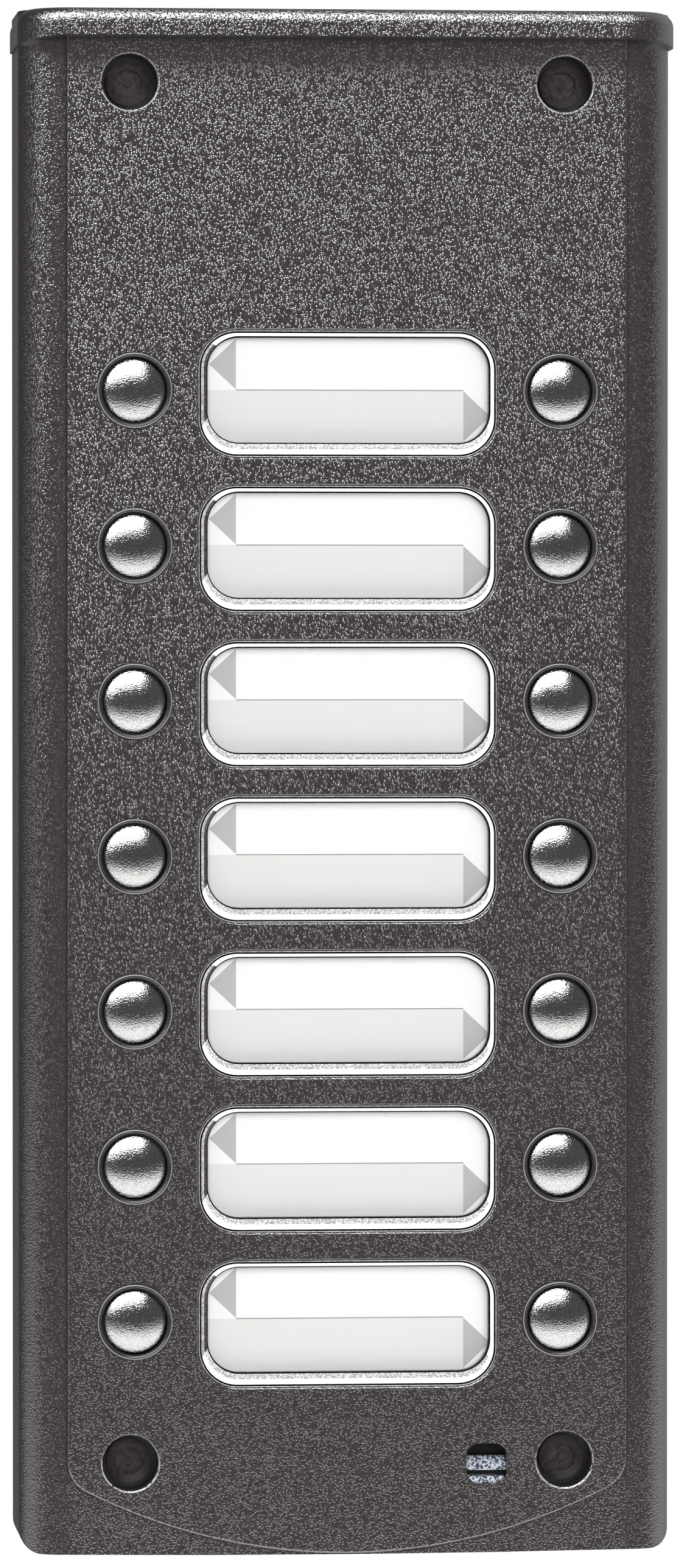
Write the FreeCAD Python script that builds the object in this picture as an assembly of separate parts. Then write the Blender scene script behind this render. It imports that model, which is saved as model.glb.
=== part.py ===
"""Door intercom panel with two columns of call buttons and lit name windows.

Millimetres. X runs across the panel, the face looks along -Y, Z is up.
The origin is the middle of the wall face of the back box.
"""
import FreeCAD, Part
import math
import os

V = FreeCAD.Vector

# ---- overall sizes -------------------------------------------------------------------
WIDTH = 100.0  # across the two side walls
HEAD_ROOM = 48.6  # top of the hood to the top window
FOOT_ROOM = 25.64  # bottom window to the bottom edge
DEPTH = 28.0  # wall to the raised field
SIDE_RADIUS = 6.0  # rounded front corner of each side wall
CORNER_RADIUS = 3.3  # bottom corners, seen from the front
BOTTOM_BOW = 0.4  # the bottom edge hangs a little lower in the middle
WALL = 2.5  # side walls of the cover
FRONT_WALL = 3.3  # front wall, measured at the raised field

# ---- raised field --------------------------------------------------------------------
SIDE_BAND = 7.1  # beside the field, on each side
FIELD_STEP = 0.8
FIELD_SAG = 9.7  # how far the curved lower edge bulges down
FIELD_CORNER = 2.8
FIELD_EDGE_ROUND = 0.35
MOUTH_CHAMFER = 0.2  # on the edges of the counterbores and window openings

# ---- rain hood -----------------------------------------------------------------------
HOOD_REACH = 5.0  # in front of the raised field
HOOD_OVERHANG = 0.3  # past each side wall
HOOD_DROP = 4.2  # height of the front lip
HOOD_END_DROP = 1.1  # extra height of the lip at its two ends
HOOD_ROUND = 2.2  # rounded top edge
HOOD_CORNER = 8.0  # plan radius of the hood's front corners

# ---- back box ------------------------------------------------------------------------
FLANGE = 3.0  # thickness of the back box's plate
FLANGE_INSET = 0.5  # plate edge, inside the cover's outline
GASKET = 1.0
GASKET_IN = 0.1  # gasket edge inside the plate's edge
GASKET_LIP = 0.3  # gasket past the cover's wall, inside
RIM_HEIGHT = 6.0
RIM_WALL = 1.5
RIM_CLEARANCE = 0.5  # between the rim and the cover's side walls

# ---- cover screws --------------------------------------------------------------------
SCREW_IN = 16.7  # from each side wall
SCREW_BELOW_TOP = 11.0
SCREW_ABOVE_BOTTOM = 14.3
SCREW_RADIUS = 2.0
SCREW_HOLE_CLEARANCE = 0.25
SCREW_THREAD_CLEARANCE = 0.05
HEAD_RADIUS = 3.4
HEAD_HEIGHT = 2.4
HEAD_DOME = 0.8  # rise of the domed top
HEAD_SOCKET_RADIUS = 2.1
HEAD_SOCKET_DEPTH = 1.2
HEAD_PIN_RADIUS = 0.55
COUNTERBORE_RADIUS = 4.3
COUNTERBORE_DEPTH = 6.0
BOSS_WALL = 2.0  # metal around and below the counterbore
POST_RADIUS = 4.5
SCREW_LENGTH = 14.0
TIP_ROOM = 1.0  # blind screw holes run this far past the screw's tip

# ---- rows of buttons and windows -----------------------------------------------------
ROWS = 7
WINDOW_GAP = 4.16  # between one window and the next
BUTTON_OUT = 9.65  # button middle from the side of the windows

# ---- call buttons --------------------------------------------------------------------
CAP_RADIUS = 4.7
CAP_CLEARANCE = 0.3  # radial, between cap and bezel
DOME_RISE = 1.4
DOME_STAND = 0.7  # apex in front of the bezel
CAP_SKIRT = 3.6
COLLAR_GRIP = 1.0  # how far the collar stands out from the cap
COLLAR = 1.0
STOP_GAP = 0.3
TRAVEL = 1.5
STEM_RADIUS = 1.6
STEM = 0.4
BEZEL_RING = 0.75  # width of the ring round the cap's clearance
BEZEL_STAND = 0.4  # bezel ring in front of the field
BEZEL_ROUND = 0.24
BEZEL_MOUTH = 0.42  # chamfer round the cap
BEZEL_SEAT = 1.0  # depth of the ring's seat in the cover
BEZEL_FIT = 0.05
BEZEL_SLEEVE = 0.4  # sleeve wall

# ---- switches and springs ------------------------------------------------------------
SWITCH_SIZE = 12.0
SWITCH_HEIGHT = 3.0
PLUNGER_RADIUS = 1.5
PLUNGER = 0.9
SPRING_RADIUS = 2.75  # to the middle of the wire
WIRE_RADIUS = 0.2
SPRING_TURNS = 3
SPRING_END_GAP = 0.05

# ---- name windows --------------------------------------------------------------------
WINDOW_WIDTH = 45.9
WINDOW_HEIGHT = 19.5
WINDOW_CORNER = 6.0
WINDOW_DROP = 0.45  # window middle below the buttons' middle
WINDOW_FIT = 0.1
WINDOW_INSET = 0.15  # rim behind the field
WINDOW_LAND = 0.3  # flat rim in front of the bevel
BEVEL_SIDE = 1.2  # bevel at the two sides, in the front view
BEVEL_END = 1.6  # mean bevel above and below
PANE_RISE = 0.3  # pane middle above the window middle
PANE_DEPTH = 1.8  # pane front behind the field
PANE = 1.2
WINDOW_FLANGE = 1.2
WINDOW_FLANGE_LIP = 1.5
CARD_LAP = 0.55  # card past the pane, all round
CARD_CORNER = 5.0
CARD = 0.4
CARD_POCKET_GAP = 0.15

# ---- light diffuser and label carrier ------------------------------------------------
DIFFUSER = 1.5
DIFFUSER_SIDE = 1.55  # past the side of the windows
DIFFUSER_PAD_IN = 0.3  # pad edge inside the card's edge
CARRIER_SIDE = 1.0  # past the side of the diffuser
CARRIER_CORNER = 3.0
WELL_SIDE_IN = 0.75  # light well inside the pane's sides
WELL_END_IN = 0.65  # light well inside the pane's top and bottom
WELL_CORNER = 2.0
CARRIER_SCREW_X = 30.0  # spacing
CARRIER_SCREW_GAP = 0.6  # between a screw boss and the nearest window's flange
CARRIER_SCREW_IN = 3.6  # from the carrier's ends
SMALL_SCREW_RADIUS = 1.4
SMALL_HEAD_RADIUS = 2.7
SMALL_HEAD = 2.0
SMALL_BOSS_RADIUS = 2.6
SMALL_CLEARANCE = 0.1
SMALL_SHANK = 5.0  # thread in the board posts
SMALL_HEAD_SUNK = 0.2
STUB_HOLE_IN = 0.5  # thread hole past the stub, into the front wall
SLOT_WIDTH = 0.6
SLOT_DEPTH = 0.8

# ---- circuit board -------------------------------------------------------------------
BOARD = 1.6
BOARD_SIDE_GAP = 3.5  # to the cover's side walls
BOARD_CORNER = 2.0
BOARD_GAP = 0.3  # behind the label carrier
BOARD_ABOVE = 32.0  # board past the top row of buttons
BOARD_BELOW = 13.0  # board past the bottom row
BOARD_POST_RADIUS = 3.0
BOARD_POST_IN = 3.2  # post middle from the board's edges
BOARD_POST_DROP = 3.5
LED_SPACING = 22.0
LED = (3.0, 0.9, 2.8)

# ---- terminal blocks -----------------------------------------------------------------
POLES = 8
POLE_PITCH = 5.0
TERMINAL_HEIGHT = 11.0
TERMINAL_DEPTH = 9.0
TERMINAL_SPACING = 43.0
TERMINAL_BELOW_TOP = 14.0
TERMINAL_SCREW_RADIUS = 1.7
TERMINAL_WELL_RADIUS = 2.0
TERMINAL_WELL = 2.4
TERMINAL_SCREW = 1.6
TERMINAL_SLOT_DEPTH = 0.6
WIRE_HOLE = (3.2, 5.0, 3.2)
WIRE_HOLE_IN = 2.0  # behind the board

# ---- wall side -----------------------------------------------------------------------
WALL_HOLE_X = 60.0
WALL_HOLE_Z = 160.0
WALL_HOLE_RADIUS = 2.5
WALL_HOLE_SINK = 2.0
CABLE_Z = 45.0
CABLE_HOLE_RADIUS = 7.0
GROMMET_BORE_RADIUS = 4.5
GROMMET_LIP = 2.0
GROMMET_LIP_HEIGHT = 1.2
GROMMET_FIT = 0.05

# ---- microphone port -----------------------------------------------------------------
PORT_BESIDE_SCREW = 12.0
PORT_ABOVE_BOTTOM = 13.75
PORT_WIDTH = 6.4
PORT_HEIGHT = 6.2
PORT_BARREL = 0.6  # how far each side bulges
PORT_CORNER = 2.2
PORT_FIT = 0.05
PORT_FLANGE = 1.5
PORT_FLANGE_LIP = 1.7
PORT_INSET = 0.6  # insert behind the field
# the insert's stepped face: in front of the flange, above the port's middle
PORT_STEPS = [(0.1, 1.3), (1.0, 1.1), (1.8, -1.1), (0.9, -1.3), (0.9, -1.8), (1.7, -2.1)]
PORT_FOOT = 2.5  # the lowest step, in front of the flange

# ---- drawing allowances ----------------------------------------------------------------
PAST = 1.0  # how far a cutting shape runs past the face that it cuts
SINK = 0.1  # how far a fused shape runs into the one it joins
NEAR = 0.01  # an edge this close to a plane lies in it

# ---- sizes worked out from the ones above ----------------------------------------------
ROW_PITCH = WINDOW_HEIGHT + WINDOW_GAP
HEIGHT = HEAD_ROOM + WINDOW_HEIGHT + (ROWS - 1) * ROW_PITCH + FOOT_ROOM
FIELD_WIDTH = WIDTH - 2 * SIDE_BAND
BUTTON_SPACING = WINDOW_WIDTH + 2 * BUTTON_OUT
COLLAR_RADIUS = CAP_RADIUS + COLLAR_GRIP
BORE_RADIUS = CAP_RADIUS + CAP_CLEARANCE
SLEEVE_RADIUS = BORE_RADIUS + BEZEL_SLEEVE
BEZEL_RADIUS = BORE_RADIUS + BEZEL_RING
PANE_WIDTH = WINDOW_WIDTH - 2 * BEVEL_SIDE
PANE_HEIGHT = WINDOW_HEIGHT - 2 * BEVEL_END
PANE_CORNER = WINDOW_CORNER - BEVEL_SIDE
CARD_WIDTH = PANE_WIDTH + 2 * CARD_LAP
CARD_HEIGHT = PANE_HEIGHT + 2 * CARD_LAP
DIFFUSER_WIDTH = WINDOW_WIDTH + 2 * DIFFUSER_SIDE
CARRIER_WIDTH = DIFFUSER_WIDTH + 2 * CARRIER_SIDE
WELL_WIDTH = PANE_WIDTH - 2 * WELL_SIDE_IN
WELL_HEIGHT = PANE_HEIGHT - 2 * WELL_END_IN
BOARD_WIDTH = WIDTH - 2 * (WALL + BOARD_SIDE_GAP)

# ---- places worked out from the sizes above ------------------------------------------
TOP = HEIGHT / 2
BOTTOM = -HEIGHT / 2
FIELD_Y = -DEPTH
BAND_Y = FIELD_Y + FIELD_STEP
CHAMFER_END_Y = FIELD_Y + MOUTH_CHAMFER
INNER_Y = FIELD_Y + FRONT_WALL
COVER_REAR_Y = -(FLANGE + GASKET)
SEAT_Y = FIELD_Y + COUNTERBORE_DEPTH
BOSS_Y = SEAT_Y + BOSS_WALL
BEZEL_Y = FIELD_Y - BEZEL_STAND
APEX_Y = BEZEL_Y - DOME_STAND
DOME_EDGE_Y = APEX_Y + DOME_RISE
SLEEVE_END_Y = DOME_EDGE_Y + CAP_SKIRT - STOP_GAP
COLLAR_Y = SLEEVE_END_Y + STOP_GAP
COLLAR_REAR_Y = COLLAR_Y + COLLAR
PLUNGER_Y = COLLAR_REAR_Y + STEM + TRAVEL + STOP_GAP
SWITCH_Y = PLUNGER_Y + PLUNGER
BOARD_Y = SWITCH_Y + SWITCH_HEIGHT
BOARD_REAR_Y = BOARD_Y + BOARD
PANE_Y = FIELD_Y + PANE_DEPTH
CARD_Y = PANE_Y + PANE
PAD_Y = CARD_Y + CARD
DIFFUSER_Y = INNER_Y + WINDOW_FLANGE
CARRIER_Y = DIFFUSER_Y + DIFFUSER
CARRIER_REAR_Y = BOARD_Y - BOARD_GAP
WIRE_HOLE_Y = BOARD_REAR_Y + WIRE_HOLE_IN

WINDOW_Z = [TOP - HEAD_ROOM - WINDOW_HEIGHT / 2 - row * ROW_PITCH for row in range(ROWS)]
ROW_Z = [z + WINDOW_DROP for z in WINDOW_Z]
BUTTON_PLACES = [(side * BUTTON_SPACING / 2, z) for z in ROW_Z for side in (-1, 1)]
SCREW_X = WIDTH / 2 - SCREW_IN
SCREW_PLACES = [
    (side * SCREW_X, z)
    for z in (TOP - SCREW_BELOW_TOP, BOTTOM + SCREW_ABOVE_BOTTOM)
    for side in (-1, 1)
]
PORT_X = SCREW_X - PORT_BESIDE_SCREW
PORT_Z = BOTTOM + PORT_ABOVE_BOTTOM
BOARD_TOP = ROW_Z[0] + BOARD_ABOVE
BOARD_BOTTOM = ROW_Z[-1] - BOARD_BELOW
BOARD_POSTS = [
    (side * (BOARD_WIDTH / 2 - BOARD_POST_IN), z)
    for z in (
        BOARD_TOP - BOARD_POST_DROP,
        ROW_Z[ROWS // 2] + ROW_PITCH / 2,
        BOARD_BOTTOM + BOARD_POST_DROP,
    )
    for side in (-1, 1)
]
CARRIER_SCREW_OUT = WINDOW_HEIGHT / 2 + WINDOW_FLANGE_LIP + CARRIER_SCREW_GAP + SMALL_BOSS_RADIUS
CARRIER_SCREWS = [
    (side * CARRIER_SCREW_X / 2, z)
    for z in (WINDOW_Z[0] + CARRIER_SCREW_OUT, WINDOW_Z[-1] - CARRIER_SCREW_OUT)
    for side in (-1, 1)
]
CARRIER_TOP = CARRIER_SCREWS[0][1] + CARRIER_SCREW_IN
CARRIER_BOTTOM = CARRIER_SCREWS[-1][1] - CARRIER_SCREW_IN
WALL_HOLES = [(sx * WALL_HOLE_X / 2, sz * WALL_HOLE_Z / 2) for sz in (1, -1) for sx in (-1, 1)]


# ---- drawing helpers -----------------------------------------------------------------
def outline(start, steps, place):
    """A flat face. Each step is (end,) for a straight edge or (through, end) for an arc."""
    edges = []
    here = start
    for step in steps:
        end = step[-1]
        if len(step) == 1:
            edges.append(Part.makeLine(place(here), place(end)))
        else:
            edges.append(Part.Arc(place(here), place(step[0]), place(end)).toShape())
        here = end
    return Part.Face(Part.Wire(edges))


def front_view(y):
    """Places an (x, z) point on the plane at y."""
    return lambda point: V(point[0], y, point[1])


def plan_view(z):
    """Places an (x, y) point on the plane at height z."""
    return lambda point: V(point[0], point[1], z)


def side_view(x):
    """Places a (y, z) point on the plane at x."""
    return lambda point: V(x, point[0], point[1])


def slab(face, y):
    """A face of the front view pushed back to y."""
    return face.extrude(V(0, y - face.BoundBox.YMin, 0))


def on_arc(centre, radius, degrees):
    """A point on a circle, the angle counted from the first axis."""
    angle = math.radians(degrees)
    return (centre[0] + radius * math.cos(angle), centre[1] + radius * math.sin(angle))


def rounded_rect(width, height, radius, y, cx=0.0, cz=0.0):
    """A rectangle with round corners, seen from the front."""
    x, z = width / 2, height / 2
    steps = []
    for sx, sz, turn in ((1, 1, 45), (1, -1, -45), (-1, -1, -135), (-1, 1, 135)):
        centre = (cx + sx * (x - radius), cz + sz * (z - radius))
        first = (centre[0], centre[1] + sz * radius)
        second = (centre[0] + sx * radius, centre[1])
        if sx * sz < 0:
            first, second = second, first
        steps += [(first,), (on_arc(centre, radius, turn), second)]
    start = steps[-1][-1]
    return outline(start, steps, front_view(y))


def round_bar(radius, y0, y1, x, z):
    """A cylinder along Y from y0 to y1."""
    return Part.makeCylinder(radius, y1 - y0, V(x, y0, z), V(0, 1, 0))


def block(width, height, y0, y1, x, z):
    """A box centred at (x, z) in the front view, from y0 to y1."""
    return Part.makeBox(width, y1 - y0, height, V(x - width / 2, y0, z - height / 2))


def group(shapes):
    """Several separate solids kept in one sub-part."""
    return Part.makeCompound(shapes)


def save(name, shape):
    """Writes one sub-part and prints what it holds."""
    shape.exportStep("parts/" + name + ".step")
    print(name, len(shape.Solids), "solid(s)", round(shape.Volume, 1), "mm3", shape.isValid())


# ---- front cover ---------------------------------------------------------------------
def plan_profile(half, front, radius, rear, z):
    """The cover's outline from above: straight sides, round front corners, open at the rear."""
    left, right = (-half + radius, front + radius), (half - radius, front + radius)
    steps = [
        ((-half, front + radius),),
        (on_arc(left, radius, 225), (-half + radius, front)),
        ((half - radius, front),),
        (on_arc(right, radius, -45), (half, front + radius)),
        ((half, rear),),
        ((-half, rear),),
    ]
    return outline((-half, rear), steps, plan_view(z))


def panel_outline(inset, y):
    """The panel seen from the front: square top, round bottom corners, bowed bottom edge."""
    half, top = WIDTH / 2 - inset, TOP - inset
    low, radius = BOTTOM + BOTTOM_BOW + inset, CORNER_RADIUS
    left, right = (-half + radius, low + radius), (half - radius, low + radius)
    steps = [
        ((half, top),),
        ((half, low + radius),),
        (on_arc(right, radius, -45), (half - radius, low)),
        ((0, low - BOTTOM_BOW), (-half + radius, low)),
        (on_arc(left, radius, 225), (-half, low + radius)),
        ((-half, top),),
    ]
    return outline((-half, top), steps, front_view(y))


def field_outline(inset, y):
    """The raised field: straight sides, round lower corners and a long bulging lower edge."""
    half = FIELD_WIDTH / 2 - inset
    chord = half - FIELD_CORNER
    lowest = BOTTOM + BOTTOM_BOW / 2 + inset
    radius = (chord**2 + FIELD_SAG**2) / (2 * FIELD_SAG)
    shoulder = lowest + FIELD_SAG
    # the corner joins the upright side to the arc, whose ends slope by this much
    slope = math.degrees(math.asin(chord / radius))
    corner_r = FIELD_CORNER / (1 - math.cos(math.radians(90 - slope)))
    corner_z = shoulder + corner_r * math.sin(math.radians(90 - slope))
    right = (half - corner_r, corner_z)
    left = (-half + corner_r, corner_z)
    turn = -(90 - slope) / 2
    steps = [
        ((half, TOP),),
        ((half, corner_z),),
        (on_arc(right, corner_r, turn), (chord, shoulder)),
        ((0, lowest), (-chord, shoulder)),
        (on_arc(left, corner_r, 180 - turn), (-half, corner_z)),
        ((-half, TOP),),
    ]
    return outline((-half, TOP), steps, front_view(y))


def hood():
    """The rain hood: a bar along the top with a rounded upper edge and an arched underside."""
    half = WIDTH / 2 + HOOD_OVERHANG
    low = TOP - HOOD_DROP - HOOD_END_DROP
    front = FIELD_Y - HOOD_REACH
    bar = plan_profile(half, front, HOOD_CORNER, COVER_REAR_Y, low)
    bar = bar.extrude(V(0, 0, TOP - low))
    upper = [
        edge
        for edge in bar.Edges
        if edge.BoundBox.ZMin > TOP - NEAR and edge.BoundBox.YMin < COVER_REAR_Y - PAST
    ]
    bar = bar.makeFillet(HOOD_ROUND, upper)
    flat = half - HOOD_CORNER
    lip = TOP - HOOD_DROP
    run = half - flat
    radius = (run**2 + HOOD_END_DROP**2) / (2 * HOOD_END_DROP)
    lean = math.degrees(math.asin(run / radius)) / 2
    right_mid = on_arc((flat, lip - radius), radius, 90 - lean)
    left_mid = on_arc((-flat, lip - radius), radius, 90 + lean)
    steps = [
        ((half, low - PAST),),
        ((half, low),),
        (right_mid, (flat, lip)),
        ((-flat, lip),),
        (left_mid, (-half, low)),
        ((-half, low - PAST),),
    ]
    under = outline((-half, low - PAST), steps, front_view(front - PAST))
    return bar.cut(slab(under, COVER_REAR_Y + PAST))


def port_outline(grow, y):
    """The barrel-shaped microphone port seen from the front."""
    half, tall = PORT_WIDTH / 2 + grow, PORT_HEIGHT / 2 + grow
    waist = half - PORT_BARREL
    steps = [
        ((PORT_X + waist, PORT_Z + tall),),
        ((PORT_X + half, PORT_Z), (PORT_X + waist, PORT_Z - tall)),
        ((PORT_X - waist, PORT_Z - tall),),
        ((PORT_X - half, PORT_Z), (PORT_X - waist, PORT_Z + tall)),
    ]
    face = outline((PORT_X - waist, PORT_Z + tall), steps, front_view(y))
    box = rounded_rect(2 * half + SINK, 2 * tall, PORT_CORNER, y, PORT_X, PORT_Z)
    return face.common(box).Faces[0]


def window_outline(grow, y, z):
    """A window opening seen from the front."""
    width, height = WINDOW_WIDTH + 2 * grow, WINDOW_HEIGHT + 2 * grow
    return rounded_rect(width, height, WINDOW_CORNER + grow, y, 0, z)


def flare(radius, x, z):
    """The cone that chamfers the mouth of a round hole in the field."""
    mouth = radius + MOUTH_CHAMFER
    return Part.makeCone(mouth, radius, MOUTH_CHAMFER, V(x, FIELD_Y, z), V(0, 1, 0))


def front_cover():
    """The cast cover: shell, raised field, hood, screw bosses, board posts and all openings."""
    half = WIDTH / 2
    shell = plan_profile(half, BAND_Y, SIDE_RADIUS, COVER_REAR_Y, BOTTOM - PAST)
    shell = shell.extrude(V(0, 0, HEIGHT + PAST))
    shell = shell.common(slab(panel_outline(0, BAND_Y - PAST), COVER_REAR_Y + PAST))
    field = slab(field_outline(0, FIELD_Y), BAND_Y + PAST)
    edges = [edge for edge in field.Edges if edge.BoundBox.YMax < FIELD_Y + NEAR]
    edges = [edge for edge in edges if edge.BoundBox.ZMin < TOP - PAST]
    field = field.makeFillet(FIELD_EDGE_ROUND, edges)
    shell = shell.fuse(field).fuse(hood())

    low, high = BOTTOM + BOTTOM_BOW + WALL, TOP - WALL
    inside = plan_profile(half - WALL, INNER_Y, SIDE_RADIUS - WALL, COVER_REAR_Y + PAST, low)
    shell = shell.cut(inside.extrude(V(0, 0, high - low)))

    bosses = [
        round_bar(COUNTERBORE_RADIUS + BOSS_WALL, INNER_Y - PAST, BOSS_Y, x, z)
        for x, z in SCREW_PLACES
    ]
    posts = [round_bar(BOARD_POST_RADIUS, INNER_Y - PAST, BOARD_Y, x, z) for x, z in BOARD_POSTS]
    stubs = [round_bar(SMALL_BOSS_RADIUS, INNER_Y - PAST, CARRIER_Y, x, z) for x, z in CARRIER_SCREWS]
    shell = shell.fuse(bosses + posts + stubs)

    cuts = []
    for x, z in SCREW_PLACES:
        cuts.append(round_bar(COUNTERBORE_RADIUS, FIELD_Y - PAST, SEAT_Y, x, z))
        cuts.append(flare(COUNTERBORE_RADIUS, x, z))
        cuts.append(round_bar(SCREW_RADIUS + SCREW_HOLE_CLEARANCE, SEAT_Y - PAST, BOSS_Y + PAST, x, z))
    for x, z in BUTTON_PLACES:
        cuts.append(round_bar(BEZEL_RADIUS + BEZEL_FIT, FIELD_Y - PAST, FIELD_Y + BEZEL_SEAT, x, z))
        cuts.append(round_bar(SLEEVE_RADIUS + BEZEL_FIT, FIELD_Y, INNER_Y + PAST, x, z))
    for z in WINDOW_Z:
        cuts.append(slab(window_outline(0, FIELD_Y - PAST, z), INNER_Y + PAST))
        wide, narrow = window_outline(MOUTH_CHAMFER, FIELD_Y, z), window_outline(0, CHAMFER_END_Y, z)
        cuts.append(Part.makeLoft([wide.OuterWire, narrow.OuterWire], True, True))
    for x, z in BOARD_POSTS:
        deep = BOARD_Y - SMALL_SHANK - TIP_ROOM
        cuts.append(round_bar(SMALL_SCREW_RADIUS + SCREW_THREAD_CLEARANCE, deep, BOARD_Y + PAST, x, z))
    for x, z in CARRIER_SCREWS:
        radius = SMALL_SCREW_RADIUS + SCREW_THREAD_CLEARANCE
        cuts.append(round_bar(radius, INNER_Y - STUB_HOLE_IN, CARRIER_Y + PAST, x, z))
    cuts.append(slab(port_outline(0, FIELD_Y - PAST), INNER_Y + PAST))
    return shell.cut(cuts).removeSplitter()


# ---- back box, gasket and cable grommet ----------------------------------------------
def back_box():
    """The wall plate: rim that the cover drops over, screw posts, wall holes, cable hole."""
    plate = slab(panel_outline(FLANGE_INSET, -FLANGE), 0)
    inset = WALL + RIM_CLEARANCE
    outer = slab(panel_outline(inset, -FLANGE - RIM_HEIGHT), -FLANGE)
    inner = slab(panel_outline(inset + RIM_WALL, -FLANGE - RIM_HEIGHT - PAST), -FLANGE)
    rim = outer.cut(inner)
    posts = [round_bar(POST_RADIUS, BOSS_Y, -FLANGE, x, z) for x, z in SCREW_PLACES]
    body = plate.fuse([rim] + posts)
    cuts = []
    for x, z in SCREW_PLACES:
        end = SEAT_Y + SCREW_LENGTH + TIP_ROOM
        radius = SCREW_RADIUS + SCREW_THREAD_CLEARANCE
        cuts.append(round_bar(radius, BOSS_Y - PAST, end, x, z))
    for x, z in WALL_HOLES:
        cuts.append(round_bar(WALL_HOLE_RADIUS, -FLANGE - PAST, PAST, x, z))
        wide = WALL_HOLE_RADIUS + WALL_HOLE_SINK
        sink = Part.makeCone(wide, WALL_HOLE_RADIUS, WALL_HOLE_SINK, V(x, -FLANGE, z), V(0, 1, 0))
        cuts.append(sink)
    cuts.append(round_bar(CABLE_HOLE_RADIUS, -FLANGE - PAST, PAST, 0, CABLE_Z))
    lip = CABLE_HOLE_RADIUS + GROMMET_LIP + GROMMET_FIT
    cuts.append(round_bar(lip, -GROMMET_LIP_HEIGHT, PAST, 0, CABLE_Z))
    return body.cut(cuts).removeSplitter()


def cover_gasket():
    """The rubber ring between the back box's plate and the cover's rear edge."""
    outer = slab(panel_outline(FLANGE_INSET + GASKET_IN, COVER_REAR_Y), -FLANGE)
    inner = panel_outline(WALL + RIM_CLEARANCE - GASKET_LIP, COVER_REAR_Y - PAST)
    return outer.cut(slab(inner, 0))


def cable_grommet():
    """The rubber grommet in the back box's cable hole, its rear lip sunk flush with the wall face."""
    neck = CABLE_HOLE_RADIUS - GROMMET_FIT
    lip = CABLE_HOLE_RADIUS + GROMMET_LIP
    front = -FLANGE - GROMMET_LIP_HEIGHT
    body = round_bar(neck, front, -GROMMET_FIT, 0, CABLE_Z)
    body = body.fuse(round_bar(lip, -GROMMET_LIP_HEIGHT + GROMMET_FIT, -GROMMET_FIT, 0, CABLE_Z))
    body = body.fuse(round_bar(lip, front, -FLANGE, 0, CABLE_Z))
    return body.cut(round_bar(GROMMET_BORE_RADIUS, front - PAST, PAST, 0, CABLE_Z))


# ---- screws --------------------------------------------------------------------------
def cover_screw(x, z):
    """A security screw: domed head with a round socket and a centre pin."""
    straight = HEAD_HEIGHT - HEAD_DOME
    reach = (HEAD_RADIUS**2 + HEAD_DOME**2) / (2 * HEAD_DOME)
    head = round_bar(HEAD_RADIUS, SEAT_Y - HEAD_HEIGHT, SEAT_Y, x, z)
    ball = Part.makeSphere(reach, V(x, SEAT_Y - HEAD_HEIGHT + reach, z))
    head = head.common(ball.fuse(round_bar(HEAD_RADIUS, SEAT_Y - straight, SEAT_Y, x, z)))
    top = SEAT_Y - HEAD_HEIGHT - PAST
    socket_end = SEAT_Y - HEAD_HEIGHT + HEAD_SOCKET_DEPTH
    head = head.cut(round_bar(HEAD_SOCKET_RADIUS, top, socket_end, x, z))
    pin = round_bar(HEAD_PIN_RADIUS, SEAT_Y - straight, socket_end + SINK, x, z)
    shank = round_bar(SCREW_RADIUS, SEAT_Y - SINK, SEAT_Y + SCREW_LENGTH, x, z)
    return head.fuse([pin, shank]).removeSplitter()


def small_screw(x, z, seat, length):
    """A small slotted screw driven from the rear, its head resting at seat."""
    head = round_bar(SMALL_HEAD_RADIUS, seat, seat + SMALL_HEAD, x, z)
    top = seat + SMALL_HEAD
    head = head.cut(block(2 * SMALL_HEAD_RADIUS, SLOT_WIDTH, top - SLOT_DEPTH, top + PAST, x, z))
    return head.fuse(round_bar(SMALL_SCREW_RADIUS, seat - length, seat + SINK, x, z))


# ---- buttons -------------------------------------------------------------------------
def button_bezel(x, z):
    """A turned ring with a rounded lip, and the sleeve that guides the button."""
    ring = round_bar(BEZEL_RADIUS, BEZEL_Y, FIELD_Y + BEZEL_SEAT, x, z)
    rounded = [edge for edge in ring.Edges if edge.BoundBox.YMax < BEZEL_Y + NEAR]
    ring = ring.makeFillet(BEZEL_ROUND, rounded)
    sleeve = round_bar(SLEEVE_RADIUS, FIELD_Y + BEZEL_SEAT - SINK, SLEEVE_END_Y, x, z)
    bore = round_bar(BORE_RADIUS, BEZEL_Y - PAST, SLEEVE_END_Y + PAST, x, z)
    wide = BORE_RADIUS + BEZEL_MOUTH
    mouth = Part.makeCone(wide, BORE_RADIUS, BEZEL_MOUTH, V(x, BEZEL_Y, z), V(0, 1, 0))
    return ring.fuse(sleeve).cut([bore, mouth]).removeSplitter()


def call_button(x, z):
    """A domed metal push button with its retaining collar and stem."""
    reach = (CAP_RADIUS**2 + DOME_RISE**2) / (2 * DOME_RISE)
    cap = round_bar(CAP_RADIUS, APEX_Y - PAST, COLLAR_Y + SINK, x, z)
    ball = Part.makeSphere(reach, V(x, APEX_Y + reach, z))
    skirt = round_bar(CAP_RADIUS, DOME_EDGE_Y, COLLAR_Y + SINK, x, z)
    cap = cap.common(ball.fuse(skirt))
    collar = round_bar(COLLAR_RADIUS, COLLAR_Y, COLLAR_REAR_Y, x, z)
    stem = round_bar(STEM_RADIUS, COLLAR_REAR_Y - SINK, COLLAR_REAR_Y + STEM, x, z)
    return cap.fuse([collar, stem]).removeSplitter()


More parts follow.
